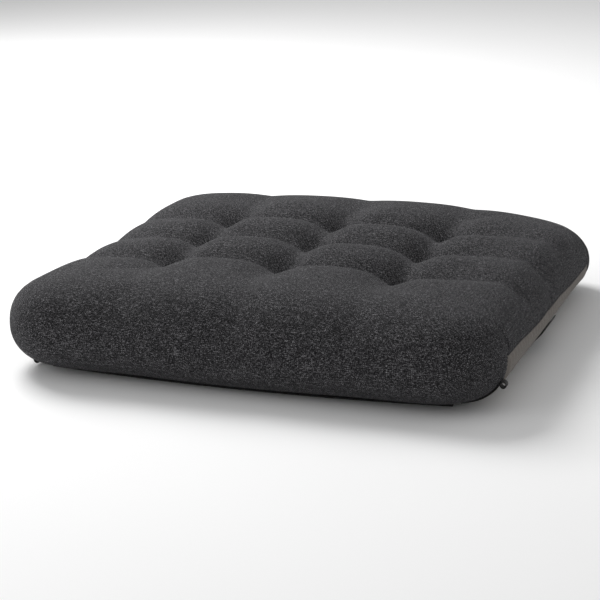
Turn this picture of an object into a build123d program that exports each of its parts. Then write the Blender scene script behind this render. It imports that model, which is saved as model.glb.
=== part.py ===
from build123d import *
import os
from math import asin, cos, degrees, radians, sin

# A tufted seat cushion in millimetres. +X runs to the right along its front edge, +Y to its back
# and +Z up. The origin is the middle of the flat it rests on.

# Overall form
width = 600
depth = 573
thickness = 123
plan_corner_radius = 88
top_edge_radius = 47
bottom_edge_radius = 41
top_crown_radius = 2600
under_crown_radius = 3600
resting_flat_radius = 190

# Layers, as their distance in from the outer surface
fabric_thickness = 1.2
wadding_depth = 13

# Tufts: nine ties pull the top in
tuft_columns = {"left": -140, "middle": 0, "right": 140}
tuft_rows = {"front": -94, "centre": 4, "back": 102}
tuft_depth = 36
tuft_neck_radius = 4
tuft_mouth_radius = 64
under_tuft_depth = 4
under_tuft_radius = 11
tie_radius = 0.8
tie_bar_length = 7
tie_bar_width = 1.6
tie_bar_height = 1.2

# Where the top fabric meets the lining
side_seam_height = 52
hem_line = 215
seam_thread = 1.2
dart_length = 30

# Elastic bands under the front and back edges, and the loops that their sewn ends make
band_thickness = 1.5
band_width = 9
band_line = 227
band_half_span = 240
band_bow = 15
band_height = 1.3
band_end_gap = 1.2
loop_length = 9
loop_height = 6.6
raised_loop_angle = 38
tucked_loop_angle = 58
corner_setback = 3

# Webbing tabs under the middle of the side edges
tab_width = 60
tab_thickness = 1.8
tab_hinge_x = 250
tab_base_length = 14
tab_edge_angle = 46
tab_clearance = 0.8
tab_hinge_gap = 0.4
stitch_height = 0.4
stitch_inset = 2.5

margin = 40


def crown_height(x, y):
    """Height of the crowned top above a point, before the ties pull it in."""
    return thickness - (x**2 + y**2) / (2 * top_crown_radius)


def under_height(x, y):
    """Height of the crowned underside above a point outside its flat."""
    return (x**2 + y**2 - resting_flat_radius**2) / (2 * under_crown_radius)


def tuft_points():
    """The nine places on plan where a tie goes through the cushion."""
    return [(x, y) for y in tuft_rows.values() for x in tuft_columns.values()]


def pillow_block(inset):
    """The untufted cushion, or a layer `inset` inside it: a rounded box crowned above and below."""
    with BuildPart() as block:
        with BuildSketch(Plane.XY.offset(inset)):
            RectangleRounded(width - 2 * inset, depth - 2 * inset, plan_corner_radius - inset)
        extrude(amount=thickness - 2 * inset)
        with Locations((0, 0, crown_height(0, 0) - inset - top_crown_radius)):
            Sphere(top_crown_radius, mode=Mode.INTERSECT)
        with Locations((0, 0, under_height(0, 0) + inset + under_crown_radius)):
            Sphere(under_crown_radius, mode=Mode.INTERSECT)
        top_crown = block.faces().filter_by(GeomType.SPHERE).sort_by(Axis.Z)[-1]
        fillet(top_crown.outer_wire().edges(), top_edge_radius - inset)
        under_crown = block.faces().filter_by(GeomType.SPHERE).sort_by(Axis.Z)[0]
        fillet(under_crown.outer_wire().edges(), bottom_edge_radius - inset)
    return block.part


def tuft_pit(inset):
    """The hollow that one tie pulls into the top, about an upright axis through the origin.

    Its wall is a quarter ellipse, upright at the tie and level where it meets the crown.
    """
    neck = tuft_neck_radius + inset
    mouth = tuft_mouth_radius + inset
    with BuildPart() as pit:
        with BuildSketch(Plane.XZ):
            with BuildLine():
                Polyline((neck, -tuft_depth), (0, -tuft_depth), (0, margin), (mouth, margin), (mouth, 0))
                EllipticalCenterArc(
                    (mouth, -tuft_depth), mouth - neck, tuft_depth, start_angle=90, arc_size=90
                )
            make_face()
        revolve(axis=Axis.Z)
    return pit.part


def under_pit(inset):
    """The small hollow that one tie pulls into the underside, with its roof at the origin."""
    slope = (under_tuft_radius - tuft_neck_radius) / under_tuft_depth
    with BuildPart() as pit:
        Cone(
            bottom_radius=tuft_neck_radius + inset + 2 * under_tuft_depth * slope,
            top_radius=tuft_neck_radius + inset,
            height=2 * under_tuft_depth,
            align=(Align.CENTER, Align.CENTER, Align.MAX),
        )
    return pit.part


def cushion_form(inset):
    """The tufted cushion, or a layer `inset` inside it, as one closed solid."""
    top_hollow = tuft_pit(inset)
    under_hollow = under_pit(inset)
    block = pillow_block(inset)
    with BuildPart() as form:
        add(block)
        for x, y in tuft_points():
            with Locations((x, y, crown_height(x, y) - inset)):
                add(top_hollow, mode=Mode.SUBTRACT)
            with Locations((x, y, under_tuft_depth + inset)):
                add(under_hollow, mode=Mode.SUBTRACT)
    return form.part


def finish(part, name):
    """Names a part and writes its STEP file."""
    part.label = name
    export_step(part, f"parts/{name}.step")


os.makedirs("parts", exist_ok=True)

# The nested surfaces that bound the layers
outer_form = cushion_form(0)
wadding_form = cushion_form(fabric_thickness)
foam_form = cushion_form(wadding_depth)

# Tuft ties: a thread down through the cushion with a short sewn bar at each end
tie_parts = {}
for row_name, row in tuft_rows.items():
    for column_name, column in tuft_columns.items():
        pit_floor = crown_height(column, row) - tuft_depth
        with BuildPart() as tuft_tie:
            with BuildSketch(Plane.XY.offset(under_tuft_depth)):
                with Locations((column, row)):
                    Circle(tie_radius)
            extrude(amount=pit_floor - under_tuft_depth)
            with BuildSketch(Plane.XY.offset(pit_floor)):
                with Locations((column, row)):
                    SlotOverall(tie_bar_length, tie_bar_width)
            extrude(amount=tie_bar_height)
            with BuildSketch(Plane.XY.offset(under_tuft_depth)):
                with Locations((column, row)):
                    SlotOverall(tie_bar_length, tie_bar_width)
            extrude(amount=-tie_bar_height)
        tie_parts[f"tuft_tie_{row_name}_{column_name}"] = tuft_tie.part

with BuildPart() as tie_channels:
    with Locations(tuft_points()):
        Cylinder(tie_radius, 2 * thickness)

# Foam core and the two sheets of wadding that wrap it, parted at the side seam
with BuildPart() as foam_core:
    add(foam_form)
    add(tie_channels.part, mode=Mode.SUBTRACT)

with BuildPart() as wadding_shell:
    add(wadding_form)
    add(foam_form, mode=Mode.SUBTRACT)
    add(tie_channels.part, mode=Mode.SUBTRACT)

with BuildPart() as top_wadding:
    add(wadding_shell.part)
    split(bisect_by=Plane.XY.offset(side_seam_height), keep=Keep.TOP)

with BuildPart() as bottom_wadding:
    add(wadding_shell.part)
    split(bisect_by=Plane.XY.offset(side_seam_height), keep=Keep.BOTTOM)

# The cover's whole skin, and the regions that its seams part it into
with BuildPart() as cover_skin:
    add(outer_form)
    add(wadding_form, mode=Mode.SUBTRACT)
    add(tie_channels.part, mode=Mode.SUBTRACT)

seam_top = side_seam_height + seam_thread / 2
seam_bottom = side_seam_height - seam_thread / 2
hem_outside = hem_line + seam_thread / 2
hem_inside = hem_line - seam_thread / 2
reach = width / 2 + margin

with BuildPart() as lining_region:
    with BuildSketch(Plane.XY.offset(seam_bottom)):
        Rectangle(2 * reach, 2 * hem_inside)
    extrude(amount=-seam_bottom - margin)

with BuildPart() as side_seam_region:
    with BuildSketch(Plane.XY.offset(seam_bottom)):
        Rectangle(2 * reach, 2 * hem_inside)
    extrude(amount=seam_thread)

with BuildPart() as hem_seam_region:
    with BuildSketch(Plane.XY.offset(seam_top)):
        with GridLocations(0, 2 * hem_line, 1, 2):
            Rectangle(2 * reach, seam_thread)
    extrude(amount=-seam_top - margin)

with BuildPart() as dart_region:
    with BuildSketch(Plane.XY.offset(seam_top)):
        with GridLocations(0, 2 * hem_line, 1, 2):
            Rectangle(2 * reach, seam_thread)
    extrude(amount=dart_length)

# Lining: the underside and the lower half of both side walls, in one piece
with BuildPart() as bottom_cover:
    add(cover_skin.part)
    add(lining_region.part, mode=Mode.INTERSECT)

# Top fabric: the tufted top, the front and back walls, and the upper half of the side walls
with BuildPart() as top_cover:
    add(cover_skin.part)
    add(lining_region.part, mode=Mode.SUBTRACT)
    add(side_seam_region.part, mode=Mode.SUBTRACT)
    add(hem_seam_region.part, mode=Mode.SUBTRACT)
    add(dart_region.part, mode=Mode.SUBTRACT)

# Seam threads, each the width of the skin that it closes
with BuildPart() as side_seams:
    add(cover_skin.part)
    add(side_seam_region.part, mode=Mode.INTERSECT)

with BuildPart() as hem_seams:
    add(cover_skin.part)
    add(hem_seam_region.part, mode=Mode.INTERSECT)

with BuildPart() as corner_darts:
    add(cover_skin.part)
    add(dart_region.part, mode=Mode.INTERSECT)

# Elastic bands: the free stretch is a shallow bow that lies flat under the edge
edge_axis_x = width / 2 - bottom_edge_radius - corner_setback
edge_axis_z = under_height(edge_axis_x, band_line) + bottom_edge_radius
tail_start_x = band_half_span + band_end_gap


def front_right_band_end(loop_angle):
    """Sewn end of the front band, with its loop `loop_angle` below the middle of the bottom edge.

    It leaves the free stretch, climbs to the corner, follows the bottom edge round and ends in an
    open loop.
    """
    with BuildPart() as band_end:
        with BuildSketch(Plane.XZ.offset(band_line)):
            with BuildLine():
                outer_sweep, inner_sweep = [
                    CenterArc((edge_axis_x, edge_axis_z), radius, -90, 90 - loop_angle)
                    for radius in (bottom_edge_radius + band_thickness, bottom_edge_radius - band_thickness)
                ]
                Line(outer_sweep @ 1, inner_sweep @ 1)
                Polyline(
                    inner_sweep @ 0,
                    (tail_start_x, band_height + band_thickness / 2),
                    (tail_start_x, band_height - band_thickness / 2),
                    outer_sweep @ 0,
                )
            make_face()
            loop_reach = bottom_edge_radius + loop_length / 2
            loop_x = edge_axis_x + loop_reach * cos(radians(loop_angle))
            loop_z = edge_axis_z - loop_reach * sin(radians(loop_angle))
            with Locations((loop_x, loop_z)):
                Ellipse(loop_length / 2, loop_height / 2)
                Ellipse(
                    loop_length / 2 - band_thickness,
                    loop_height / 2 - band_thickness,
                    mode=Mode.SUBTRACT,
                )
        extrude(amount=band_width / 2, both=True)
        add(outer_form, mode=Mode.SUBTRACT)
    return band_end.part


bow_radius = (band_half_span**2 + band_bow**2) / (2 * band_bow)
bow_half_angle = degrees(asin(band_half_span / bow_radius))
bow_centre_y = -band_line - band_bow + bow_radius
with BuildPart() as front_band:
    with BuildSketch(Plane.XY.offset(band_height)):
        with BuildLine():
            bow_edges = [
                CenterArc((0, bow_centre_y), bow_radius + side, 270 - bow_half_angle, 2 * bow_half_angle)
                for side in (-band_width / 2, band_width / 2)
            ]
            for end in (0, 1):
                Line(bow_edges[0] @ end, bow_edges[1] @ end)
        make_face()
    extrude(amount=band_thickness / 2, both=True)

# Webbing tab under the right edge: a flap round the bottom edge, and the base that is sewn down
tab_axis_x = width / 2 - bottom_edge_radius
tab_axis_z = under_height(tab_axis_x, 0) + bottom_edge_radius
tab_inner_radius = bottom_edge_radius + tab_clearance
tab_outer_radius = tab_inner_radius + tab_thickness
with BuildPart() as right_side_tab:
    with BuildSketch(Plane.XZ):
        with BuildLine():
            outer_flap = CenterArc(
                (tab_axis_x, tab_axis_z), tab_outer_radius, -90, 90 - tab_edge_angle
            )
            inner_flap = CenterArc(
                (tab_axis_x, tab_axis_z), tab_inner_radius, -90, 90 - tab_edge_angle
            )
            Line(outer_flap @ 1, inner_flap @ 1)
            Polyline(
                inner_flap @ 0,
                (tab_hinge_x, (inner_flap @ 0).Y),
                (tab_hinge_x, (outer_flap @ 0).Y),
                outer_flap @ 0,
            )
        make_face()
    extrude(amount=tab_width / 2, both=True)

tab_lowest = tab_axis_z - tab_outer_radius
with BuildPart() as right_tab_base:
    with BuildSketch(Plane.XY.offset(tab_lowest)):
        with Locations((tab_hinge_x - tab_hinge_gap - tab_base_length / 2, 0)):
            Rectangle(tab_base_length, tab_width)
    extrude(amount=tab_thickness)
    add(outer_form, mode=Mode.SUBTRACT)

with BuildPart() as right_tab_stitches:
    with BuildSketch(Plane.XY.offset(tab_lowest)):
        with Locations((tab_hinge_x - tab_hinge_gap - tab_base_length / 2, 0)):
            with GridLocations(tab_base_length - 2 * stitch_inset, 0, 2, 1):
                Rectangle(seam_thread, tab_width - 2 * stitch_inset)
    extrude(amount=-stitch_height)

# Everything is written, with the right-hand and front pieces mirrored to the other sides
for name, part in tie_parts.items():
    finish(part, name)
for name, builder in {
    "foam_core": foam_core,
    "top_wadding": top_wadding,
    "bottom_wadding": bottom_wadding,
    "top_cover": top_cover,
    "bottom_cover": bottom_cover,
}.items():
    finish(builder.part, name)

for side, plane_side in {"left": Keep.BOTTOM, "right": Keep.TOP}.items():
    finish(split(side_seams.part, bisect_by=Plane.YZ, keep=plane_side), f"side_seam_{side}")
for end, plane_end in {"front": Keep.TOP, "back": Keep.BOTTOM}.items():
    finish(split(hem_seams.part, bisect_by=Plane.XZ, keep=plane_end), f"hem_seam_{end}")
    end_darts = split(corner_darts.part, bisect_by=Plane.XZ, keep=plane_end)
    for side, plane_side in {"left": Keep.BOTTOM, "right": Keep.TOP}.items():
        finish(split(end_darts, bisect_by=Plane.YZ, keep=plane_side), f"corner_dart_{end}_{side}")

finish(front_band.part, "front_band")
finish(mirror(front_band.part, about=Plane.XZ), "back_band")
tucked_end = front_right_band_end(tucked_loop_angle)
tucked_left_end = mirror(tucked_end, about=Plane.YZ)
finish(front_right_band_end(raised_loop_angle), "band_end_front_right")
finish(tucked_left_end, "band_end_front_left")
finish(mirror(tucked_end, about=Plane.XZ), "band_end_back_right")
finish(mirror(tucked_left_end, about=Plane.XZ), "band_end_back_left")
for name, builder in {
    "side_tab": right_side_tab,
    "tab_base": right_tab_base,
    "tab_stitches": right_tab_stitches,
}.items():
    finish(builder.part, f"{name}_right")
    finish(mirror(builder.part, about=Plane.YZ), f"{name}_left")
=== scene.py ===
"""Looks of a tufted seat cushion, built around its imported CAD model.

+X runs to the right along the front edge, +Y to the back and +Z up, in metres. The origin is the
middle of the flat that the cushion rests on.
"""

import math

import bmesh
import bpy
import numpy as np
from mathutils import Matrix, Vector
from mathutils.bvhtree import BVHTree


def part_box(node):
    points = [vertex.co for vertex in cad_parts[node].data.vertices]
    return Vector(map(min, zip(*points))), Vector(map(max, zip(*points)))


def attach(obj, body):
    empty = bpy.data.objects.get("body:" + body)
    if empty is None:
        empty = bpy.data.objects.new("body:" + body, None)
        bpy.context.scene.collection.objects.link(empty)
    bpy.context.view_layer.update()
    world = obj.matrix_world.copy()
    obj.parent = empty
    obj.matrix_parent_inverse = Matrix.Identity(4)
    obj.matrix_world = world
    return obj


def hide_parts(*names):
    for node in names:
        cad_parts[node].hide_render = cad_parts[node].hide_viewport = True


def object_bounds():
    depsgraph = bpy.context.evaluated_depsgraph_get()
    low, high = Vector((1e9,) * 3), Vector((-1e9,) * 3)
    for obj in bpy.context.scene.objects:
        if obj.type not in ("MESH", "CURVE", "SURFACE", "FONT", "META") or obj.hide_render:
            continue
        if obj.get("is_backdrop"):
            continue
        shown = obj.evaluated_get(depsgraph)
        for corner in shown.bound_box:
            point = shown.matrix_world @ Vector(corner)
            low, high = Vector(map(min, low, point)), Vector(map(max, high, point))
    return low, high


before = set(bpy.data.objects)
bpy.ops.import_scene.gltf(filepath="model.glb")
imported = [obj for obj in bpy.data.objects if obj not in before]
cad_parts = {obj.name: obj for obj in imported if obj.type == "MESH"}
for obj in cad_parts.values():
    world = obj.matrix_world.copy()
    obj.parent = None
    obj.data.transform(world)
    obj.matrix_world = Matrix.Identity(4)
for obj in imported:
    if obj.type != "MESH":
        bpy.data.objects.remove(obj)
cad_low, cad_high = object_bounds()

# ---------------------------------------------------------------- dimensions from the CAD model

SIDES = ("left", "right")
ENDS = ("front", "back")
COLUMNS = ("left", "middle", "right")
ROWS = ("front", "centre", "back")
SQUARE = ((-1, -1), (1, -1), (1, 1), (-1, 1))

cover_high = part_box("top_cover")[1]
HALF_WIDTH = cover_high.x
HALF_DEPTH = cover_high.y
SEAM_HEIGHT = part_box("bottom_cover")[1].z
HEM_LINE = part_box("bottom_cover")[1].y
DART_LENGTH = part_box("corner_dart_front_right")[1].z - SEAM_HEIGHT

CLOTH = 0.0012
TIE_BAR_HEIGHT = 0.0012


def middle_of(node):
    """The middle of a CAD node's box."""
    low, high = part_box(node)
    return (low + high) / 2


TUFTS = {
    (row, column): Vector(
        (
            middle_of(f"tuft_tie_{row}_{column}").x,
            middle_of(f"tuft_tie_{row}_{column}").y,
            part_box(f"tuft_tie_{row}_{column}")[1].z - TIE_BAR_HEIGHT,
        )
    )
    for row in ROWS
    for column in COLUMNS
}
COLUMN_LINES = [TUFTS["centre", column].x for column in COLUMNS]
ROW_LINES = [TUFTS[row, "middle"].y for row in ROWS]

# ---------------------------------------------------------------- the pad's form

PLAN_CORNER = 0.076
BOTTOM_INSET = 0.043
UNDER_CROWN_RADIUS = 3.6
RESTING_RADIUS = 0.190
UNDER_RISE = 0.0062
UNDER_DIMPLE = 0.004
UNDER_DIMPLE_RADIUS = 0.012
EQUATOR = 0.052
TOP_INSET = 0.060
TOP_EDGE_HEIGHT = 0.102
CROWN = 0.019
CROWN_POWER = 2.6
SQUARENESS = 2.5
PIT_DEPTH = 0.034
PIT_RADIUS = 0.034
VALLEY_DEPTH = 0.016
VALLEY_HALF = 0.066
VALLEY_REACH = 0.150
VALLEY_AT_EDGE = 0.30
PILLOW_POWER = 2.3
VOXEL = 0.007
PIN_RADIUS = 0.0062
RESTING_BAND = 0.0075
SMOOTH_PASSES = 3
WALL_FROM = 0.7

# ---------------------------------------------------------------- how this cushion lies

LEFT_SAG = 0.012
BACK_SAG = 0.008
BACK_RIGHT_SAG = 0.012
LEFT_TUCK = 0.004
EDGE_FROM = 0.35

# ---------------------------------------------------------------- the simulation

PRESSURE = 4.0
FRAMES = 24
MOVEMENT_CAP = 0.010

# ---------------------------------------------------------------- seams

SEAM_FALL = 0.0105
SEAM_DROP = 0.0015
SEAM_WAVE = 0.0012
SEAM_GROOVE = 0.0026
SEAM_GROOVE_WIDTH = 0.0045
PUCKER = 0.0005
PUCKER_WIDTH = 0.006
PUCKER_PITCH = 0.013
CUT_REACH = 0.012
STITCH_PITCH = 0.0042
STITCH_LENGTH = 0.0034
STITCH_RADIUS = 0.00038
TUBE_END_SHARE = 0.55

# ---------------------------------------------------------------- layers, ties, bands and tabs

WADDING_THICKNESS = 0.009
LAYER_GAP = 0.0004
SEAM_ROOM = 0.0022
TIE_SQUEEZE_FROM = 0.004
TIE_SQUEEZE_WIDTH = 0.040
SQUEEZE_STEPS = 20
SQUEEZED_SHARE = 0.04
TIE_BAR_THREAD_RADIUS = 0.00038
TIE_BAR_SPACING = 0.0006
TIE_THREAD_RADIUS = 0.0004
TIE_TWISTS = 7
BAND_WIDTH = 0.009
BAND_THICKNESS = 0.0013
TAB_THICKNESS = 0.0016
LOOP_RADIUS = 0.0034
RAISED_LOOP = 36
TUCKED_LOOP = 84
TAB_END = 36
TAB_START_GAP = 0.001
BAND_SEWN = (0.008, 0.006)
TAB_SEWN_MARGIN = (0.005, 0.006)
CROSS_PITCH = 0.0024
CROSS_RADIUS = 0.00028
CROSS_LIFT = 0.0003
EDGE_CENTRE_X = HALF_WIDTH - BOTTOM_INSET
EDGE_CENTRE_Z = UNDER_RISE + EQUATOR
DOWN = Vector((0, 0, -1))

# ---------------------------------------------------------------- yarns and weaves

BLACK_YARN = (0.004, 0.004, 0.004, 1)
DARK_YARN = (0.0030, 0.0030, 0.0033, 1)
SOFT_YARN = (0.0120, 0.0117, 0.0128, 1)
FLECK_GREY = (0.260, 0.254, 0.266, 1)
SLUB_STRETCHES = ((330, 1100, 1100), (1100, 330, 1100), (1100, 1100, 360))
SLUB_SHARES = (1.0, 0.7, 0.6)
WEAVE_PITCH = 0.0023
LINING_PITCH = 0.0012

# ---------------------------------------------------------------- camera, floor and light

LENS = 109.93
PITCH = math.radians(16.84)
YAW = math.radians(20.26)
ROLL = math.radians(-1.30)
CAMERA_PLACE = (0.73161, -2.02951, 0.68656)
FLOOR_REACH = 9.0
FLOOR_DROP = 0.0004
LIGHT_AIM = Vector((0, 0, 0.05))
WORLD_STRENGTH = 0.50


# ================================================================ helpers: meshes


def points_of(mesh):
    """The mesh's vertices as an array, one row each."""
    flat = np.empty(len(mesh.vertices) * 3)
    mesh.vertices.foreach_get("co", flat)
    return flat.reshape(-1, 3)


def normals_of(mesh):
    """The mesh's vertex normals as an array, one row each."""
    flat = np.empty(len(mesh.vertices) * 3)
    mesh.vertex_normals.foreach_get("vector", flat)
    return flat.reshape(-1, 3)


def move_points(mesh, points):
    """Sets the mesh's vertices from an array, one row each."""
    mesh.vertices.foreach_set("co", points.ravel())
    mesh.update()


def link(name, mesh):
    """A new smooth-shaded object with that mesh, in the scene."""
    mesh.polygons.foreach_set("use_smooth", [True] * len(mesh.polygons))
    made = bpy.data.objects.new(name, mesh)
    bpy.context.scene.collection.objects.link(made)
    return made


def applied(piece):
    """A mesh that has the piece's modifiers in it."""
    graph = bpy.context.evaluated_depsgraph_get()
    return bpy.data.meshes.new_from_object(piece.evaluated_get(graph))


def ease(t):
    """0 below 0, 1 above 1 and a smooth step between them."""
    t = np.clip(t, 0, 1)
    return t * t * (3 - 2 * t)


def bump(distance, radius, power=2.0):
    """1 at no distance, fading with distance over about a radius."""
    return np.exp(-((np.abs(distance) / radius) ** power))


def dress(piece, material, body="cushion", stands_for=()):
    """Gives a piece its material and slot and the body it rides on, and hides the CAD nodes it
    stands for.
    """
    piece.data.materials.clear()
    piece.data.materials.append(material)
    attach(piece, body)
    if stands_for:
        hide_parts(*stands_for)
    return piece


def tube_into(bm, path, radius, sides=6):
    """Adds a round tube along a list of points, closed and narrower at both ends."""
    count = len(path)
    rings = []
    for i, point in enumerate(path):
        ahead = path[min(i + 1, count - 1)] - path[max(i - 1, 0)]
        ahead.normalize()
        across = ahead.orthogonal().normalized() if i == 0 else (across - ahead * across.dot(ahead))
        across.normalize()
        beside = ahead.cross(across)
        share = TUBE_END_SHARE if i in (0, count - 1) else 1.0
        rings.append(
            [
                bm.verts.new(
                    point
                    + (across * math.cos(a) + beside * math.sin(a)) * (radius * share)
                )
                for a in (2 * math.pi * k / sides for k in range(sides))
            ]
        )
    for one, two in zip(rings, rings[1:]):
        for k in range(sides):
            bm.faces.new((one[k], one[(k + 1) % sides], two[(k + 1) % sides], two[k]))
    bm.faces.new(list(reversed(rings[0])))
    bm.faces.new(rings[-1])


def mesh_from(bm, name):
    """A new mesh with what is in bm, which is freed."""
    mesh = bpy.data.meshes.new(name)
    bm.to_mesh(mesh)
    bm.free()
    return mesh


# ================================================================ helpers: materials


class Paint:
    """A node material: short names for the nodes that the materials below are made of."""

    def __init__(self, name):
        self.material = bpy.data.materials.new(name)
        self.material.use_nodes = True
        self.tree = self.material.node_tree
        self.shader = self.tree.nodes["Principled BSDF"]
        self.place = self.node("ShaderNodeTexCoord").outputs["Object"]

    def node(self, kind, **settings):
        made = self.tree.nodes.new(kind)
        for key, value in settings.items():
            setattr(made, key, value)
        return made

    def put(self, socket, value):
        """Links a node's output to a socket, or sets the socket to a number or colour."""
        if isinstance(value, bpy.types.NodeSocket):
            self.tree.links.new(value, socket)
        else:
            socket.default_value = value

    def stretched(self, scale, turn=(0, 0, 0), place=None):
        mapping = self.node("ShaderNodeMapping")
        self.put(mapping.inputs["Vector"], place or self.place)
        mapping.inputs["Scale"].default_value = scale
        mapping.inputs["Rotation"].default_value = turn
        return mapping.outputs["Vector"]

    def noise(self, scale, detail=2.0, roughness=0.5, place=None):
        noise = self.node("ShaderNodeTexNoise")
        self.put(noise.inputs["Vector"], place or self.place)
        noise.inputs["Scale"].default_value = scale
        noise.inputs["Detail"].default_value = detail
        noise.inputs["Roughness"].default_value = roughness
        return noise.outputs["Fac"]

    def math(self, operation, a, b=0.0):
        made = self.node("ShaderNodeMath", operation=operation)
        self.put(made.inputs[0], a)
        self.put(made.inputs[1], b)
        return made.outputs[0]

    def between(self, value, low, high, out_low=0.0, out_high=1.0):
        made = self.node("ShaderNodeMapRange", interpolation_type="SMOOTHSTEP")
        self.put(made.inputs["Value"], value)
        made.inputs["From Min"].default_value = low
        made.inputs["From Max"].default_value = high
        made.inputs["To Min"].default_value = out_low
        made.inputs["To Max"].default_value = out_high
        return made.outputs["Result"]

    def mix(self, share, one, two):
        made = self.node("ShaderNodeMix", data_type="RGBA")
        self.put(made.inputs["Factor"], share)
        self.put(made.inputs["A"], one)
        self.put(made.inputs["B"], two)
        return made.outputs["Result"]

    def raise_by(self, height, strength, distance):
        made = self.node("ShaderNodeBump")
        self.put(made.inputs["Height"], height)
        made.inputs["Strength"].default_value = strength
        made.inputs["Distance"].default_value = distance
        self.put(self.shader.inputs["Normal"], made.outputs["Normal"])

    def set(self, name, value):
        self.put(self.shader.inputs[name], value)


def weave_height(paint, pitch):
    """Height of a plain weave that needs no UVs: crossed waves in all three directions."""
    parts = paint.node("ShaderNodeSeparateXYZ")
    paint.put(parts.inputs[0], paint.place)
    waves = []
    for axis in "XYZ":
        turned = paint.math("MULTIPLY", parts.outputs[axis], 2 * math.pi / pitch)
        waves.append(paint.math("SINE", turned))
    first = paint.math("MULTIPLY", waves[0], waves[1])
    second = paint.math("MULTIPLY", waves[1], waves[2])
    third = paint.math("MULTIPLY", waves[2], waves[0])
    total = paint.math("ADD", paint.math("ADD", first, second), third)
    return paint.between(total, -1.0, 1.0)


def melange_cloth():
    """Coarse upholstery cloth: near-black yarn with short grey slubs along all three axes."""
    paint = Paint("charcoal_melange_weave")
    lying = 0.0
    for stretch, share in zip(SLUB_STRETCHES, SLUB_SHARES):
        fleck = paint.noise(1.0, 1.0, 0.6, paint.stretched(stretch))
        slub = paint.math("MULTIPLY", paint.between(fleck, 0.56, 0.66), share)
        lying = paint.math("MAXIMUM", slub, lying)
    grain = paint.noise(950, 3.0, 0.65)
    patches = paint.noise(60, 2.0, 0.6)
    dense = paint.between(patches, 0.30, 0.70, 0.82, 1.0)
    light = paint.math("MULTIPLY", lying, dense)
    light = paint.math("MULTIPLY", light, paint.between(grain, 0.30, 0.62, 0.35, 1.0))
    weave = weave_height(paint, WEAVE_PITCH)
    light = paint.math("MULTIPLY", light, paint.between(weave, 0.15, 0.75, 0.45, 1.15))
    yarn = paint.mix(grain, DARK_YARN, SOFT_YARN)
    paint.set("Base Color", paint.mix(light, yarn, FLECK_GREY))
    paint.set("Roughness", paint.between(light, 0.0, 1.0, 0.93, 0.80))
    paint.set("Sheen Weight", 0.05)
    paint.set("Sheen Roughness", 0.5)
    paint.set("Sheen Tint", (0.80, 0.80, 0.86, 1))
    paint.set("Specular IOR Level", 0.15)
    woven = paint.math("MULTIPLY", weave, 0.55)
    rough = paint.math("MULTIPLY", grain, 0.55)
    height = paint.math("ADD", paint.math("ADD", woven, rough), paint.math("MULTIPLY", light, 0.4))
    paint.raise_by(height, 0.75, 0.0009)
    return paint.material


def lining_cloth():
    """Thin, tightly woven taupe lining."""
    paint = Paint("taupe_lining_weave")
    grain = paint.noise(1500, 2.0, 0.6)
    shade = paint.noise(12, 2.0, 0.5)
    ribs = weave_height(paint, LINING_PITCH)
    tone = paint.mix(shade, (0.165, 0.147, 0.130, 1), (0.225, 0.203, 0.182, 1))
    paint.set("Base Color", paint.mix(grain, (0.110, 0.098, 0.087, 1), tone))
    paint.set("Roughness", paint.between(grain, 0.3, 0.7, 0.72, 0.88))
    paint.set("Sheen Weight", 0.12)
    paint.set("Sheen Roughness", 0.4)
    paint.set("Specular IOR Level", 0.3)
    paint.raise_by(paint.math("ADD", ribs, paint.math("MULTIPLY", grain, 0.5)), 0.45, 0.0004)
    return paint.material


def webbing_cloth(name, light, pitch):
    """Black woven webbing with a fine rib."""
    paint = Paint(name)
    ribs = weave_height(paint, pitch)
    grain = paint.noise(1800, 2.0, 0.6)
    paint.set("Base Color", paint.mix(paint.math("MULTIPLY", ribs, grain), BLACK_YARN, light))
    paint.set("Roughness", paint.between(grain, 0.3, 0.7, 0.55, 0.80))
    paint.set("Sheen Weight", 0.1)
    paint.set("Specular IOR Level", 0.35)
    paint.raise_by(paint.math("ADD", ribs, paint.math("MULTIPLY", grain, 0.3)), 0.6, 0.0004)
    return paint.material


def thread_yarn(name, dark, light):
    """Twisted sewing thread."""
    paint = Paint(name)
    twist = paint.noise(2600, 2.0, 0.5, paint.stretched((1, 1, 2.5), (0.5, 0.5, 0.3)))
    paint.set("Base Color", paint.mix(twist, dark, light))
    paint.set("Roughness", paint.between(twist, 0.3, 0.7, 0.5, 0.7))
    paint.set("Sheen Weight", 0.1)
    paint.raise_by(twist, 0.5, 0.0002)
    return paint.material


def fibre_wadding():
    """Fluffy white polyester wadding."""
    paint = Paint("white_fibre_wadding")
    fluff = paint.noise(240, 5.0, 0.7)
    clumps = paint.noise(28, 3.0, 0.6)
    paint.set("Base Color", paint.mix(fluff, (0.62, 0.61, 0.58, 1), (0.86, 0.86, 0.84, 1)))
    paint.set("Roughness", paint.between(clumps, 0.3, 0.7, 0.85, 0.98))
    paint.set("Sheen Weight", 0.4)
    paint.raise_by(paint.math("ADD", fluff, clumps), 0.6, 0.002)
    return paint.material


def cell_foam():
    """Cream polyurethane foam with open cells, their hollow middles painted darker as painted
    shade.
    """
    paint = Paint("cream_polyurethane_foam")
    cells = paint.node("ShaderNodeTexVoronoi", feature="DISTANCE_TO_EDGE")
    paint.put(cells.inputs["Vector"], paint.place)
    cells.inputs["Scale"].default_value = 900
    # wall is 0 at the cell edges and 1 in each cell's middle, which the bump below sinks; the
    # darker colour it brings there is painted shade in the hollows.
    wall = paint.between(cells.outputs["Distance"], 0.0, 0.25)
    tone = paint.noise(18, 3.0, 0.5)
    warm = paint.mix(tone, (0.72, 0.63, 0.42, 1), (0.80, 0.72, 0.52, 1))
    # Painted shade: the cells' sunken middles take the darker brown, and the raised edges keep the
    # cream.
    paint.set("Base Color", paint.mix(wall, warm, (0.50, 0.42, 0.26, 1)))
    paint.set("Roughness", paint.between(tone, 0.3, 0.7, 0.86, 0.95))
    paint.raise_by(paint.math("SUBTRACT", 1.0, wall), 0.6, 0.0006)
    return paint.material


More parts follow.
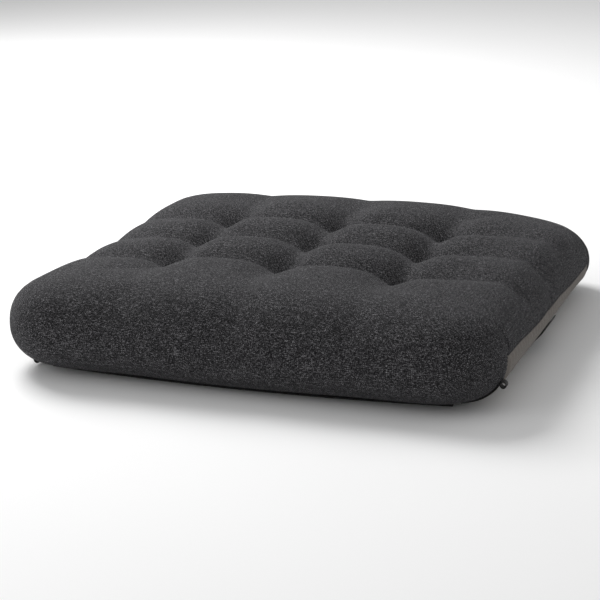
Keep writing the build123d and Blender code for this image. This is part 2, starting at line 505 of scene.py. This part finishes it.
MELANGE = melange_cloth()
LINING = lining_cloth()
ELASTIC = webbing_cloth("black_elastic_band", (0.030, 0.030, 0.032, 1), 0.0011)
WEBBING = webbing_cloth("black_webbing", (0.026, 0.026, 0.028, 1), 0.0016)
TIE_THREAD = thread_yarn("dark_tie_thread", (0.006, 0.006, 0.007, 1), (0.035, 0.035, 0.038, 1))
SEAM_THREAD = thread_yarn("dark_seam_thread", (0.005, 0.005, 0.005, 1), (0.028, 0.027, 0.028, 1))
WEB_THREAD = thread_yarn("grey_webbing_thread", (0.030, 0.030, 0.030, 1), (0.120, 0.118, 0.115, 1))
WADDING = fibre_wadding()
FOAM = cell_foam()

# ================================================================ camera


def make_camera():
    """The photograph's long lens, from the front right and a little above."""
    ahead = Vector(
        (
            -math.sin(YAW) * math.cos(PITCH),
            math.cos(YAW) * math.cos(PITCH),
            -math.sin(PITCH),
        )
    )
    level = Vector((math.cos(YAW), math.sin(YAW), 0))
    above = level.cross(ahead)
    right = level * math.cos(ROLL) + above * math.sin(ROLL)
    up = above * math.cos(ROLL) - level * math.sin(ROLL)
    data = bpy.data.cameras.new("camera")
    data.sensor_width = 36
    data.lens = LENS
    camera = bpy.data.objects.new("camera", data)
    bpy.context.scene.collection.objects.link(camera)
    turned = Matrix((right, up, -ahead)).transposed().to_4x4()
    turned.translation = CAMERA_PLACE
    camera.matrix_world = turned
    bpy.context.scene.camera = camera


make_camera()

# ================================================================ the pad's closed form


def plan_ring(inset, height, steps=14):
    """The cushion's outline on plan as a rounded rectangle of points, `inset` inside its edge."""
    half_x = HALF_WIDTH - inset
    half_y = HALF_DEPTH - inset
    radius = max(PLAN_CORNER - 0.9 * inset, 0.02)
    corners = ((1, 1, 0), (-1, 1, 90), (-1, -1, 180), (1, -1, 270))
    ring = []
    for sign_x, sign_y, start in corners:
        for i in range(steps + 1):
            angle = math.radians(start + 90 * i / steps)
            x = sign_x * (half_x - radius) + radius * math.cos(angle)
            y = sign_y * (half_y - radius) + radius * math.sin(angle)
            ring.append((x, y, height))
    return ring


def rounded_box():
    """A mesh lofted through rings: a quarter round below the equator and a squarer one above."""
    power = 2 / SQUARENESS
    rings = []
    for k in range(11):
        angle = math.radians(90 * k / 10)
        inset = BOTTOM_INSET * (1 - math.sin(angle))
        rings.append(plan_ring(inset, EQUATOR * (1 - math.cos(angle))))
    for k in range(1, 13):
        angle = math.radians(90 * k / 12)
        inset = TOP_INSET * (1 - max(math.cos(angle), 0) ** power)
        height = EQUATOR + (TOP_EDGE_HEIGHT - EQUATOR) * math.sin(angle) ** power
        rings.append(plan_ring(inset, height))
    bm = bmesh.new()
    verts = [[bm.verts.new(point) for point in ring] for ring in rings]
    count = len(verts[0])
    for lower, upper in zip(verts, verts[1:]):
        for i in range(count):
            bm.faces.new((lower[i], lower[(i + 1) % count], upper[(i + 1) % count], upper[i]))
    bm.faces.new(list(reversed(verts[0])))
    bm.faces.new(verts[-1])
    return mesh_from(bm, "pad_base")


def valley(across, along, lines, ties):
    """How far sewn lines pull the top in.

    They make pits at the ties and valleys between them, which fade past the last tie.
    """
    nearest = np.min([np.abs(across - line) for line in lines], axis=0)
    slope = (1 - np.clip(nearest / VALLEY_HALF, 0, 1)) ** PILLOW_POWER
    to_tie = np.min([np.abs(along - tie) for tie in ties], axis=0)
    beyond = np.maximum(along - max(ties), min(ties) - along)
    fade = 1 - (1 - VALLEY_AT_EDGE) * ease(beyond / VALLEY_REACH)
    floor = VALLEY_DEPTH * fade
    floor = floor + (PIT_DEPTH - floor) * bump(to_tie, PIT_RADIUS, 1.4)
    return slope * floor


def tufted(points):
    """Crowns the pad above and below, and pulls its top in at the tufts and between them."""
    x, y, z = points.T
    top = ease((z - (EQUATOR + 0.008)) / (TOP_EDGE_HEIGHT - EQUATOR - 0.008))
    u = np.abs(x / HALF_WIDTH)
    v = np.abs(y / HALF_DEPTH)
    crown = CROWN * (1 - np.minimum(u, 1) ** CROWN_POWER) * (1 - np.minimum(v, 1) ** CROWN_POWER)
    down = valley(x, y, COLUMN_LINES, ROW_LINES)
    across = valley(y, x, ROW_LINES, COLUMN_LINES)
    pulled = (down**3 + across**3) ** (1 / 3)
    low = 1 - ease(z / EQUATOR)
    under = np.maximum(x**2 + y**2 - RESTING_RADIUS**2, 0) / (2 * UNDER_CROWN_RADIUS)
    under = np.minimum(under, UNDER_RISE)
    shaped = points.copy()
    shaped[:, 2] += top * (crown - pulled) + low * under
    return shaped


def remeshed_pad():
    """The pad before it is filled: an even, smoothed mesh of the tufted form."""
    base = link("pad_base", rounded_box())
    remesh = base.modifiers.new("remesh", "REMESH")
    remesh.mode = "VOXEL"
    remesh.voxel_size = VOXEL
    mesh = applied(base)
    bpy.data.objects.remove(base)
    move_points(mesh, tufted(points_of(mesh)))
    pad = link("pad", mesh)
    smooth = pad.modifiers.new("smooth", "SMOOTH")
    smooth.factor = 0.5
    smooth.iterations = SMOOTH_PASSES
    smoothed = applied(pad)
    pad.modifiers.clear()
    pad.data = smoothed
    return pad


def pin_places(points):
    """Sets the cloth at each tie to the tie's depth, and says which points are held still.

    Those are the ties' own points and the whole underside, which would bulge through the floor.
    """
    x, y, z = points.T
    upper = z > EQUATOR
    held = z < RESTING_BAND
    placed = points.copy()
    for tuft in TUFTS.values():
        away = np.hypot(x - tuft.x, y - tuft.y)
        near = upper & (away < 3 * PIN_RADIUS)
        drop = tuft.z - z[upper & (away < PIN_RADIUS)].mean()
        placed[near, 2] += drop * bump(away[near], 2.2 * PIN_RADIUS)
        held |= upper & (away < PIN_RADIUS)
    return placed, held


def fill_with_pressure(pad):
    """Inflates the pad as cloth held at its ties and its flat, and keeps the settled shape."""
    rest, held = pin_places(points_of(pad.data))
    move_points(pad.data, rest)
    group = pad.vertex_groups.new(name="held")
    group.add([int(i) for i in np.flatnonzero(held)], 1.0, "REPLACE")
    cloth = pad.modifiers.new("cloth", "CLOTH")
    settings = cloth.settings
    settings.quality = 6
    settings.mass = 0.3
    settings.tension_stiffness = 25
    settings.compression_stiffness = 25
    settings.shear_stiffness = 12
    settings.bending_stiffness = 3
    settings.tension_damping = 10
    settings.compression_damping = 10
    settings.shear_damping = 8
    settings.bending_damping = 1
    settings.air_damping = 4
    settings.vertex_group_mass = "held"
    settings.use_pressure = True
    settings.uniform_pressure_force = PRESSURE
    settings.effector_weights.gravity = 0
    cloth.collision_settings.use_collision = False
    cloth.collision_settings.use_self_collision = False
    scene = bpy.context.scene
    scene.frame_start = 1
    scene.frame_end = FRAMES
    cloth.point_cache.frame_start = 1
    cloth.point_cache.frame_end = FRAMES
    for step in range(1, FRAMES + 1):
        scene.frame_set(step)
    filled = applied(pad)
    moved = points_of(filled) - rest
    far = np.linalg.norm(moved, axis=1)
    share = np.minimum(1, MOVEMENT_CAP / np.maximum(far, 1e-9))
    pad.modifiers.clear()
    pad.vertex_groups.clear()
    pad.data = filled
    move_points(filled, rest + moved * share[:, None])
    scene.frame_set(1)


def settled(points):
    """The lie of this cushion: full width, edges that sag a little, and dimples under the ties."""
    x, y, z = points.T
    rest = points.copy()
    rest[:, 0] *= HALF_WIDTH / x.max()
    rest[:, 1] *= HALF_DEPTH / y.max()
    up = ease(z / 0.09)
    left, right, back = (
        ease((share - EDGE_FROM) / (1 - EDGE_FROM))
        for share in (-x / HALF_WIDTH, x / HALF_WIDTH, y / HALF_DEPTH)
    )
    middle = 1 - ease(np.abs(y / HALF_DEPTH) / 0.95)
    sag = LEFT_SAG * left * middle + BACK_SAG * back + BACK_RIGHT_SAG * back * right
    rest[:, 2] -= up * sag
    rest[:, 0] += LEFT_TUCK * left
    for tuft in TUFTS.values():
        away = np.hypot(x - tuft.x, y - tuft.y)
        rest[:, 2] += (z < EQUATOR / 2) * UNDER_DIMPLE * bump(away, UNDER_DIMPLE_RADIUS)
    return rest


def seam_height(y):
    """Height of the side seam: it falls a little towards the back, and wanders."""
    along = y / HALF_DEPTH
    return SEAM_HEIGHT - SEAM_DROP - SEAM_FALL * along + SEAM_WAVE * np.sin(9.0 * along + 0.6)


def seam_distance(points):
    """Distance of each point from the nearest seam, with the dart above each corner."""
    x, y, z = points.T
    above = z - seam_height(y)
    inside = HEM_LINE - np.abs(y)
    wall = np.abs(x) > WALL_FROM * HALF_WIDTH
    side = np.where(wall, np.hypot(above, np.minimum(inside, 0)), 1.0)
    dart = 0.004 * ease(above / DART_LENGTH)
    hem = np.hypot(np.abs(inside) + np.where(wall, dart, 0), np.maximum(above - DART_LENGTH, 0))
    hem = np.where((above < 0) | wall, hem, 1.0)
    return np.minimum(side, hem)


def groove_seams(mesh):
    """Draws the cloth in along its seams, with small puckers beside the stitches."""
    points = points_of(mesh)
    normals = normals_of(mesh)
    away = seam_distance(points)
    x, y, _ = points.T
    along = np.where(np.abs(x) > WALL_FROM * HALF_WIDTH, y, x)
    wander = np.sin(2 * math.pi * along / PUCKER_PITCH + 1.7 * np.sin(41 * along))
    depth = SEAM_GROOVE * bump(away, SEAM_GROOVE_WIDTH, 1.6)
    depth += PUCKER * wander * bump(away - PUCKER_WIDTH, PUCKER_WIDTH)
    under = ease((points[:, 2] + 0.001) / 0.012)
    depth *= 0.25 + 0.75 * under
    move_points(mesh, points - normals * depth[:, None])


# ================================================================ making the pad


def make_pad():
    pad = remeshed_pad()
    fill_with_pressure(pad)
    move_points(pad.data, settled(points_of(pad.data)))
    return pad


pad = make_pad()
coarse = pad.data.copy()
finer = pad.modifiers.new("finer", "SUBSURF")
finer.levels = 1
finer.render_levels = 1
skin = applied(pad)
bpy.data.objects.remove(pad)
groove_seams(skin)

# ================================================================ the cover, cut at its seams


def shear_seam(points, way):
    """Moves the seam line to one level (way 1), so that a plane can cut along it, or back (-1)."""
    moved = points.copy()
    moved[:, 2] -= way * seam_height(points[:, 1])
    return moved


def cut(bm, place, normal, wanted):
    """Cuts the faces that `wanted` picks along a plane."""
    faces = [face for face in bm.faces if wanted(face.calc_center_median())]
    edges = {edge for face in faces for edge in face.edges}
    verts = {vert for face in faces for vert in face.verts}
    bmesh.ops.bisect_plane(
        bm,
        geom=[*verts, *edges, *faces],
        plane_co=place,
        plane_no=normal,
        dist=1e-5,
    )


def in_lining(centre):
    """Whether a face of the sheared skin belongs to the lining."""
    return abs(centre.y) < HEM_LINE and centre.z < 0


def split_skin(mesh):
    """Two meshes, cut apart along the seams: the top cloth and the lining."""
    move_points(mesh, shear_seam(points_of(mesh), 1))
    bm = bmesh.new()
    bm.from_mesh(mesh)
    cut(
        bm,
        (0, 0, 0),
        (0, 0, 1),
        lambda c: abs(c.z) < CUT_REACH and abs(c.y) < HEM_LINE + CUT_REACH,
    )
    for side in (-1, 1):
        cut(
            bm,
            (0, side * HEM_LINE, 0),
            (0, 1, 0),
            lambda c, side=side: abs(c.y - side * HEM_LINE) < CUT_REACH and c.z < DART_LENGTH,
        )
    halves = []
    for keep_lining in (False, True):
        half = bm.copy()
        gone = [f for f in half.faces if in_lining(f.calc_center_median()) != keep_lining]
        bmesh.ops.delete(half, geom=gone, context="FACES")
        made = mesh_from(half, "lining" if keep_lining else "top_cloth")
        move_points(made, shear_seam(points_of(made), -1))
        halves.append(made)
    bm.free()
    return halves


skin_surface = BVHTree.FromPolygons(
    [vert.co.copy() for vert in skin.vertices],
    [list(face.vertices) for face in skin.polygons],
)
top_mesh, lining_mesh = split_skin(skin)


def cloth_piece(name, mesh, material, nodes):
    """A cloth with its real thickness, which goes inward from the outer face."""
    piece = link(name, mesh)
    thick = piece.modifiers.new("thickness", "SOLIDIFY")
    thick.thickness = CLOTH
    thick.offset = -1
    return dress(piece, material, stands_for=nodes)


top_cover = cloth_piece("top_cover_cloth", top_mesh, MELANGE, ["top_cover"])
lining = cloth_piece("lining_cloth", lining_mesh, LINING, ["bottom_cover"])

# ================================================================ what is inside the cover


def fullness(points):
    """0 at a tie and 1 away from it, where the filling is as thick as it is made."""
    share = np.ones(len(points))
    for tuft in TUFTS.values():
        away = np.hypot(points[:, 0] - tuft.x, points[:, 1] - tuft.y)
        share = np.minimum(share, ease((away - TIE_SQUEEZE_FROM) / TIE_SQUEEZE_WIDTH))
    return share


def layer(depth_at_ties, depth_away):
    """The pad's coarse mesh drawn in, by less at the ties, where they squeeze the filling."""
    mesh = coarse.copy()
    points = points_of(mesh)
    share = fullness(points)
    depth = depth_at_ties + (depth_away - depth_at_ties) * share
    move_points(mesh, points - normals_of(mesh) * depth[:, None])
    return mesh


def make_wadding(name, node, upper):
    """One sheet of wadding under the cloth, parted from the other at the side seam."""
    mesh = layer(CLOTH + LAYER_GAP, CLOTH + SEAM_ROOM)
    bm = bmesh.new()
    bm.from_mesh(mesh)
    level = SEAM_HEIGHT + (LAYER_GAP if upper else -LAYER_GAP)
    bmesh.ops.bisect_plane(
        bm,
        geom=[*bm.verts, *bm.edges, *bm.faces],
        plane_co=(0, 0, level),
        plane_no=(0, 0, 1),
        clear_inner=upper,
        clear_outer=not upper,
    )
    bm.to_mesh(mesh)
    bm.free()
    piece = link(name, mesh)
    share = fullness(points_of(mesh))
    group = piece.vertex_groups.new(name="thickness")
    for step in range(SQUEEZE_STEPS + 1):
        members = np.flatnonzero(np.round(share * SQUEEZE_STEPS) == step)
        weight = max(step / SQUEEZE_STEPS, SQUEEZED_SHARE)
        group.add([int(i) for i in members], weight, "REPLACE")
    thick = piece.modifiers.new("thickness", "SOLIDIFY")
    thick.thickness = WADDING_THICKNESS
    thick.offset = -1
    thick.vertex_group = "thickness"
    dress(piece, WADDING, stands_for=[node])
    return piece


make_wadding("top_wadding_sheet", "top_wadding", True)
make_wadding("bottom_wadding_sheet", "bottom_wadding", False)

foam_depth = CLOTH + SEAM_ROOM + WADDING_THICKNESS + LAYER_GAP
foam = link("foam_block", layer(CLOTH + 3 * LAYER_GAP, foam_depth))
dress(foam, FOAM, stands_for=["foam_core"])

# ================================================================ seam stitches


def loop_of(mesh):
    """The lining's edge as one closed list of points, in order."""
    bm = bmesh.new()
    bm.from_mesh(mesh)
    edges = [edge for edge in bm.edges if edge.is_boundary]
    links = {}
    for edge in edges:
        for vert in edge.verts:
            links.setdefault(vert, []).append(edge.other_vert(vert))
    start = edges[0].verts[0]
    order, before, here = [start], None, start
    while True:
        onward = [vert for vert in links[here] if vert is not before]
        before, here = here, onward[0]
        if here is start:
            break
        order.append(here)
    points = [(vert.co.copy(), vert.normal.copy()) for vert in order]
    bm.free()
    return points


def is_side(point):
    """Whether a point of the lining's edge is on a side seam and not on a hem."""
    return abs(point.y) < HEM_LINE - 1e-4


def chains(points):
    """The closed edge parted into its two side runs and its two hems, by their names."""
    start = next(
        i for i in range(len(points)) if is_side(points[i][0]) and not is_side(points[i - 1][0])
    )
    turned = points[start:] + points[:start]
    runs, current = [], [turned[0]]
    for one in turned[1:]:
        if is_side(one[0]) == is_side(current[-1][0]):
            current.append(one)
        else:
            runs.append(current)
            current = [one]
    runs.append(current)
    named = {}
    for run in runs:
        middle = run[len(run) // 2][0]
        if is_side(middle):
            named["side_seam_" + ("right" if middle.x > 0 else "left")] = run
        else:
            named["hem_seam_" + ("back" if middle.y > 0 else "front")] = run
    return named


def stitch_run(run, name):
    """Stitches along a run of (point, normal), each a short thread that dives in at both ends."""
    bm = bmesh.new()
    lengths = [0.0]
    for one, two in zip(run, run[1:]):
        lengths.append(lengths[-1] + (two[0] - one[0]).length)

    def at(distance):
        i = int(np.searchsorted(lengths, distance)) - 1
        i = min(max(i, 0), len(run) - 2)
        span = max(lengths[i + 1] - lengths[i], 1e-9)
        share = min(max((distance - lengths[i]) / span, 0), 1)
        point = run[i][0].lerp(run[i + 1][0], share)
        normal = run[i][1].lerp(run[i + 1][1], share).normalized()
        return point, normal

    count = int(lengths[-1] / STITCH_PITCH)
    for k in range(count):
        start = (k + 0.5) * STITCH_PITCH - STITCH_LENGTH / 2
        path = []
        for share, lift in ((0, -0.5), (0.18, 0.2), (0.5, 0.45), (0.82, 0.2), (1, -0.5)):
            point, normal = at(start + share * STITCH_LENGTH)
            path.append(point + normal * (lift * 2 * STITCH_RADIUS))
        tube_into(bm, path, STITCH_RADIUS)
    return link(name, mesh_from(bm, name))


seam_runs = chains(loop_of(lining_mesh))
for node, run in sorted(seam_runs.items()):
    stitches = stitch_run(run, f"{node}_stitches")
    dress(stitches, SEAM_THREAD, stands_for=[node])


def dart_run(mesh, side_x, side_y):
    """The points of a corner dart: from the end of the side seam straight up the wall."""
    points = points_of(mesh)
    normals = normals_of(mesh)
    level = SEAM_HEIGHT + DART_LENGTH
    on_line = np.abs(points[:, 1] - side_y * HEM_LINE) < 2e-5
    wanted = on_line & (points[:, 0] * side_x > WALL_FROM * HALF_WIDTH)
    wanted &= points[:, 2] > seam_height(points[:, 1]) - 1e-5
    wanted &= points[:, 2] < level
    chosen = np.flatnonzero(wanted)
    chosen = chosen[np.argsort(points[chosen, 2])]
    return [(Vector(points[i]), Vector(normals[i])) for i in chosen]


for end, side_y in zip(ENDS, (-1, 1)):
    for side, side_x in zip(SIDES, (-1, 1)):
        node = f"corner_dart_{end}_{side}"
        stitches = stitch_run(dart_run(top_mesh, side_x, side_y), f"{node}_stitches")
        dress(stitches, SEAM_THREAD, stands_for=[node])

# ================================================================ tuft ties


def make_tie(row, column):
    """Three short threads side by side above and below, and a shaft of two twisted threads."""
    node = f"tuft_tie_{row}_{column}"
    low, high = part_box(node)
    centre = (low + high) / 2
    half = (high.x - low.x) / 2
    bm = bmesh.new()
    for level, way in ((high.z - TIE_BAR_HEIGHT, 1), (low.z + TIE_BAR_HEIGHT, -1)):
        for offset in (-TIE_BAR_SPACING, 0, TIE_BAR_SPACING):
            path = []
            for k in range(9):
                t = -1 + 2 * k / 8
                rise = way * TIE_BAR_HEIGHT * (0.75 - 1.3 * t**4)
                beside = offset * (1 - 0.6 * t * t)
                path.append(Vector((centre.x + half * t, centre.y + beside, level + rise)))
            tube_into(bm, path, TIE_BAR_THREAD_RADIUS, 8)
    top = high.z - TIE_BAR_HEIGHT / 2
    bottom = low.z + TIE_BAR_HEIGHT / 2
    steps = 60
    for phase in (0, math.pi):
        path = []
        for k in range(steps + 1):
            angle = phase + 2 * math.pi * TIE_TWISTS * k / steps
            x = centre.x + TIE_THREAD_RADIUS * math.cos(angle)
            y = centre.y + TIE_THREAD_RADIUS * math.sin(angle)
            path.append(Vector((x, y, bottom + (top - bottom) * k / steps)))
        tube_into(bm, path, TIE_THREAD_RADIUS)
    tie = link(f"{node}_threads", mesh_from(bm, node))
    return dress(tie, TIE_THREAD, stands_for=[node])


for row in ROWS:
    for column in COLUMNS:
        make_tie(row, column)

# ================================================================ bands, loops and tabs


def edge_path(side, y, start_x, end_angle, gap):
    """Points and normals round the bottom edge of one side, `gap` outside the cloth.

    The path starts under the cushion and ends `end_angle` degrees below the middle of the edge.
    """
    rays = []
    for k in range(5):
        x = start_x + (EDGE_CENTRE_X - start_x) * k / 5
        rays.append((Vector((side * x, y, EDGE_CENTRE_Z)), Vector((0, 0, -1))))
    steps = 14
    for k in range(steps + 1):
        angle = math.radians(90 - (90 - end_angle) * k / steps)
        aim = Vector((side * math.cos(angle), 0, -math.sin(angle)))
        rays.append((Vector((side * EDGE_CENTRE_X, y, EDGE_CENTRE_Z)), aim))
    path = []
    for origin, aim in rays:
        point, _, _, _ = skin_surface.ray_cast(origin, aim)
        path.append((point + aim * gap, aim))
    return path


def loop_path(path, radius):
    """The path, with an open loop of the same webbing turned back on its end."""
    end, outward = path[-1]
    centre = end + outward * radius
    along = (path[-1][0] - path[-2][0]).normalized()
    turned = []
    for k in range(1, 19):
        angle = 2 * math.pi * k / 19
        spoke = along * math.sin(angle) - outward * math.cos(angle)
        turned.append((centre + spoke * radius, -spoke))
    return path + turned


def ribbon(name, path, width, thickness):
    """Flat webbing along a path, with rounded selvedges and a slight hollow down its middle."""
    half = width / 2
    upper = [(-1, 0), (-0.94, 0.42), (-0.80, 0.5), (0, 0.46), (0.80, 0.5), (0.94, 0.42)]
    profile = upper + [(-share, -lift) for share, lift in upper]
    bm = bmesh.new()
    rings = []
    for point, normal in path:
        ring = [
            bm.verts.new(point + Vector((0, share * half, 0)) + normal * (lift * thickness))
            for share, lift in profile
        ]
        rings.append(ring)
    count = len(profile)
    for one, two in zip(rings, rings[1:]):
        for k in range(count):
            bm.faces.new((one[k], one[(k + 1) % count], two[(k + 1) % count], two[k]))
    bm.faces.new(list(reversed(rings[0])))
    bm.faces.new(rings[-1])
    bmesh.ops.recalc_face_normals(bm, faces=bm.faces)
    return link(name, mesh_from(bm, name))


def cross_stitches(name, centre, size):
    """A sewn square with a cross in it, on a flat strap seen from below."""
    half_x, half_y = size[0] / 2, size[1] / 2
    corners = [Vector((x * half_x, y * half_y, 0)) for x, y in SQUARE]
    lines = list(zip(corners, corners[1:] + corners[:1]))
    lines += [(corners[0], corners[2]), (corners[1], corners[3])]
    bm = bmesh.new()
    for start, end in lines:
        count = max(int((end - start).length / CROSS_PITCH), 2)
        for k in range(count):
            one = start.lerp(end, (k + 0.15) / count)
            two = start.lerp(end, (k + 0.85) / count)
            middle = (one + two) / 2 + DOWN * CROSS_LIFT
            tube_into(bm, [centre + one, centre + middle, centre + two], CROSS_RADIUS)
    return link(name, mesh_from(bm, name))


def inner_end(node, side_x):
    """How far from the middle a strap of the CAD model starts, under the cushion."""
    low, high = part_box(node)
    return low.x if side_x > 0 else -high.x


def colour_node(node, material):
    """Gives a shown CAD node its material."""
    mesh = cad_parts[node].data
    mesh.materials.clear()
    mesh.materials.append(material)


for end, side_y in zip(ENDS, (-1, 1)):
    colour_node(f"{end}_band", ELASTIC)
    for side, side_x in zip(SIDES, (-1, 1)):
        node = f"band_end_{end}_{side}"
        low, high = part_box(node)
        y = (low.y + high.y) / 2
        start_x = inner_end(node, side_x)
        angle = RAISED_LOOP if (end, side) == ("front", "right") else TUCKED_LOOP
        path = edge_path(side_x, y, start_x, angle, BAND_THICKNESS * 0.6)
        strap = loop_path(path, LOOP_RADIUS)
        piece = ribbon(f"{node}_webbing", strap, BAND_WIDTH, BAND_THICKNESS)
        dress(piece, ELASTIC, stands_for=[node])
        sewn = path[2][0] + DOWN * (BAND_THICKNESS * 0.5)
        marks = cross_stitches(f"{node}_stitches", sewn, BAND_SEWN)
        dress(marks, WEB_THREAD)

for side, side_x in zip(SIDES, (-1, 1)):
    node = f"side_tab_{side}"
    low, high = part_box(node)
    start_x = inner_end(node, side_x) + TAB_START_GAP
    path = edge_path(side_x, 0.0, start_x, TAB_END, TAB_THICKNESS * 0.85)
    piece = ribbon(f"{node}_webbing", path, high.y - low.y, TAB_THICKNESS)
    dress(piece, WEBBING, body=node, stands_for=[node])
    colour_node(f"tab_base_{side}", WEBBING)
    low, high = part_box(f"tab_base_{side}")
    sewn = Vector(((low.x + high.x) / 2, (low.y + high.y) / 2, low.z))
    size = (high.x - low.x - TAB_SEWN_MARGIN[0], high.y - low.y - TAB_SEWN_MARGIN[1])
    marks = cross_stitches(f"tab_base_{side}_stitches", sewn, size)
    dress(marks, WEB_THREAD, stands_for=[f"tab_stitches_{side}"])

# ================================================================ floor and light


def make_floor():
    """A wide pale floor under the cushion."""
    bm = bmesh.new()
    level = cad_low.z - FLOOR_DROP
    bm.faces.new([bm.verts.new((x * FLOOR_REACH, y * FLOOR_REACH, level)) for x, y in SQUARE])
    floor = link("floor", mesh_from(bm, "floor"))
    paint = Paint("pale_floor")
    tone = paint.mix(paint.noise(2.0), (0.90, 0.90, 0.90, 1), (0.93, 0.93, 0.93, 1))
    paint.set("Base Color", tone)
    paint.set("Roughness", 0.9)
    floor.data.materials.append(paint.material)
    floor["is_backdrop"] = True


def area_light(name, place, size, power):
    """A square lamp of that size in metres and power in watts, aimed at the cushion."""
    data = bpy.data.lights.new(name, "AREA")
    data.size = size
    data.energy = power
    lamp = bpy.data.objects.new(name, data)
    bpy.context.scene.collection.objects.link(lamp)
    lamp.location = place
    lamp.rotation_euler = (LIGHT_AIM - Vector(place)).to_track_quat("-Z", "Y").to_euler()


make_floor()
area_light("key", (-1.5, 1.0, 1.7), 1.2, 62)
area_light("fill", (-1.6, -1.7, 1.0), 1.4, 10)
world = bpy.data.worlds.new("studio")
bpy.context.scene.world = world
world.use_nodes = True
world.node_tree.nodes["Background"].inputs["Color"].default_value = (1, 1, 1, 1)
world.node_tree.nodes["Background"].inputs["Strength"].default_value = WORLD_STRENGTH
bpy.context.scene.view_settings.view_transform = "Standard"

# ================================================================ bounds of the shown objects

low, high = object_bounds()
